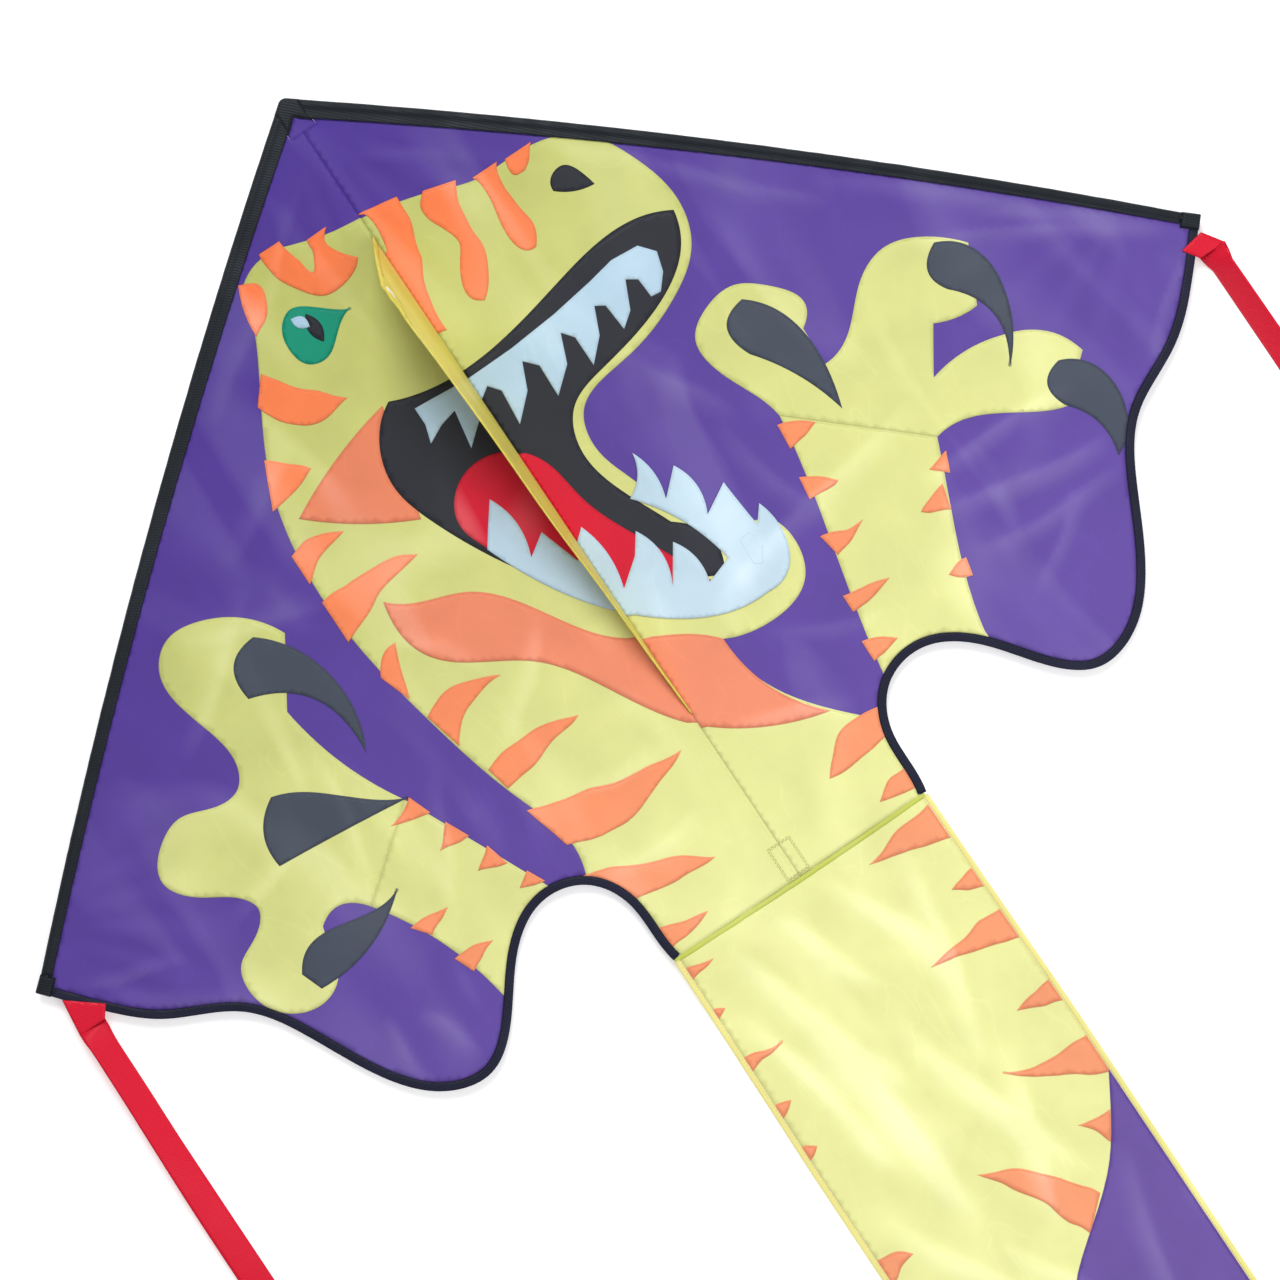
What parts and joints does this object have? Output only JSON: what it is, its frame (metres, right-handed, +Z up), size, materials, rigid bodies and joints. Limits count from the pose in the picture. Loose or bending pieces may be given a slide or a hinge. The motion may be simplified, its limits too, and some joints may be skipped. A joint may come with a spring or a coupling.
{
  "type": "single-line flyer kite",
  "caption": "Single-line framed cloth kite with scalloped wings, a keel with a tow eyelet, a long tail and two ribbon streamers; wings fold, spreader unclips.",
  "frame": {"origin": "on the surface that the kite lies on, under the middle of its length and span", "axes": "+X towards the right wing seen from the face, +Y towards the nose, +Z up out of the face, the side with the keel"},
  "size_m": [1.2083, 2.2842, 0.1304],
  "materials": {
    "sail_purple": "woven polyester, slight sheen",
    "cloth_lime": "woven polyester, slight sheen",
    "cloth_orange": "woven polyester, slight sheen",
    "cloth_salmon": "woven polyester, slight sheen",
    "cloth_black": "woven polyester, slight sheen",
    "cloth_slate": "woven polyester, slight sheen",
    "cloth_red": "woven polyester, slight sheen",
    "cloth_pale": "woven polyester, slight sheen",
    "cloth_teal": "woven polyester, slight sheen",
    "keel_yellow": "woven polyester, slight sheen",
    "edge_black": "webbing and bias tape",
    "ribbon_red": "satin-like ribbon cloth",
    "rod_fibreglass": "pultruded rod, smooth",
    "cap_vinyl": "soft vinyl",
    "clip_plastic": "moulded nylon",
    "eyelet_white": "moulded white eyelet"
  },
  "bodies": {
    "spine": {"spine_rod": "rod_fibreglass", "spine_end_caps": "cap_vinyl", "nose_pocket": "edge_black", "spine_tail_pocket": "edge_black", "centre_seam_tape": "edge_black"},
    "wing_left": {"sail_left": "sail_purple", "trailing_edge_binding_left": "edge_black", "leading_edge_spar_left": "rod_fibreglass", "spar_end_caps_left": "cap_vinyl", "leading_edge_sleeve_left": "edge_black", "tip_pocket_left": "edge_black", "spreader_clip_left": "clip_plastic", "streamer_tab_left": "ribbon_red", "dinosaur_left": "cloth_lime", "hand_left": "cloth_lime", "stripes_left": "cloth_orange", "throat_left": "cloth_salmon", "mouth_left": "cloth_black", "claws_left": "cloth_slate", "tongue_left": "cloth_red", "upper_teeth_left": "cloth_pale", "lower_teeth_left": "cloth_pale", "eye_iris": "cloth_teal", "eye_pupil": "cloth_black", "eye_glint": "cloth_pale"},
    "wing_right": {"sail_right": "sail_purple", "trailing_edge_binding_right": "edge_black", "leading_edge_spar_right": "rod_fibreglass", "spar_end_caps_right": "cap_vinyl", "leading_edge_sleeve_right": "edge_black", "tip_pocket_right": "edge_black", "spreader_clip_right": "clip_plastic", "streamer_tab_right": "ribbon_red", "dinosaur_right": "cloth_lime", "hand_right": "cloth_lime", "stripes_right": "cloth_orange", "throat_right": "cloth_salmon", "mouth_right": "cloth_black", "claws_right": "cloth_slate", "tongue_right": "cloth_red", "upper_teeth_right": "cloth_pale", "lower_teeth_right": "cloth_pale", "nostril": "cloth_black"},
    "keel": {"keel": "keel_yellow", "keel_hem": "keel_yellow", "keel_corner_patch": "keel_yellow", "tow_eyelet": "eyelet_white"},
    "spreader": {"spreader_rod": "rod_fibreglass", "spreader_end_caps": "cap_vinyl"},
    "tail": {"tail_panel": "cloth_lime", "tail_hem": "cloth_lime", "tail_background": "sail_purple", "tail_stripes": "cloth_orange"},
    "streamer_left": {"streamer_left": "ribbon_red"},
    "streamer_right": {"streamer_right": "ribbon_red"}
  },
  "joints": [
    {"name": "wing_left_fold", "type": "hinge", "parent": "spine", "child": "wing_left", "pos_m": [-0.0024, 0.7, 0.01175], "axis": [0, 1, 0], "range_deg": [0, 80]},
    {"name": "wing_right_fold", "type": "hinge", "parent": "spine", "child": "wing_right", "pos_m": [0.0024, 0.7, 0.01175], "axis": [0, 1, 0], "range_deg": [-80, 0]},
    {"name": "keel_flop", "type": "hinge", "parent": "spine", "child": "keel", "pos_m": [0, 0.7, 0.0135], "axis": [0, 1, 0], "range_deg": [-72, 88]},
    {"name": "spreader_release", "type": "slide", "parent": "spine", "child": "spreader", "axis": [0, 0, -1], "range_m": [0, 0.015]},
    {"name": "tail_fold", "type": "hinge", "parent": "spine", "child": "tail", "pos_m": [0, 0.357, 0.01175], "axis": [1, 0, 0], "range_deg": [-90, 80]},
    {"name": "streamer_left_swing", "type": "hinge", "parent": "wing_left", "child": "streamer_left", "pos_m": [-0.5635, 0.58275, 0.01175], "axis": [1, 0, 0], "range_deg": [-60, 60]},
    {"name": "streamer_right_swing", "type": "hinge", "parent": "wing_right", "child": "streamer_right", "pos_m": [0.579, 0.60275, 0.01175], "axis": [-1, 0, 0], "range_deg": [-60, 60]}
  ]
}
